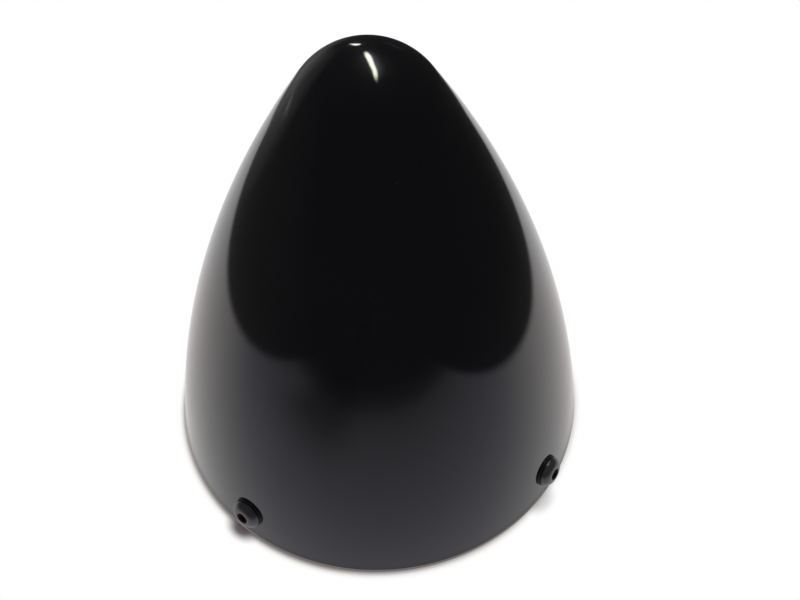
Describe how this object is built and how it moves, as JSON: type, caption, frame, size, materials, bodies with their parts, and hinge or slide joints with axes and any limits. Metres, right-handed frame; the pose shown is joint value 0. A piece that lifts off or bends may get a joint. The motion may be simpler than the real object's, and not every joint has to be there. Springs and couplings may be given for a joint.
{
  "type": "propeller spinner",
  "caption": "Gloss black ogive spinner dome screwed over a pressed aluminium backplate that bolts to a propeller hub.",
  "frame": {"origin": "centre of the rim plane, the rear face of the backplate's lip, which is also the centre of the bottom of the bounding box", "axes": "+Z along the propeller axis to the nose; the four dome screws lie on the X and Y axes"},
  "size_m": [0.1346, 0.1346, 0.139],
  "materials": {
    "gloss_black_paint": "gloss black paint on spun aluminium",
    "bare_aluminium": "bare pressed sheet, satin",
    "black_oxide_steel": "black oxide, lightly oiled",
    "black_nylon": "moulded black nylon",
    "zinc_plated_steel": "zinc plated",
    "rivet_aluminium": "bare"
  },
  "bodies": {
    "root": {"dome": "gloss_black_paint", "backplate": "bare_aluminium", "dome_screw_1": "black_oxide_steel", "screw_washer_1": "black_nylon", "anchor_nut_1": "zinc_plated_steel", "anchor_rivet_1_left": "rivet_aluminium", "anchor_rivet_1_right": "rivet_aluminium", "dome_screw_2": "black_oxide_steel", "screw_washer_2": "black_nylon", "anchor_nut_2": "zinc_plated_steel", "anchor_rivet_2_left": "rivet_aluminium", "anchor_rivet_2_right": "rivet_aluminium", "dome_screw_3": "black_oxide_steel", "screw_washer_3": "black_nylon", "anchor_nut_3": "zinc_plated_steel", "anchor_rivet_3_left": "rivet_aluminium", "anchor_rivet_3_right": "rivet_aluminium", "dome_screw_4": "black_oxide_steel", "screw_washer_4": "black_nylon", "anchor_nut_4": "zinc_plated_steel", "anchor_rivet_4_left": "rivet_aluminium", "anchor_rivet_4_right": "rivet_aluminium"}
  },
  "joints": []
}
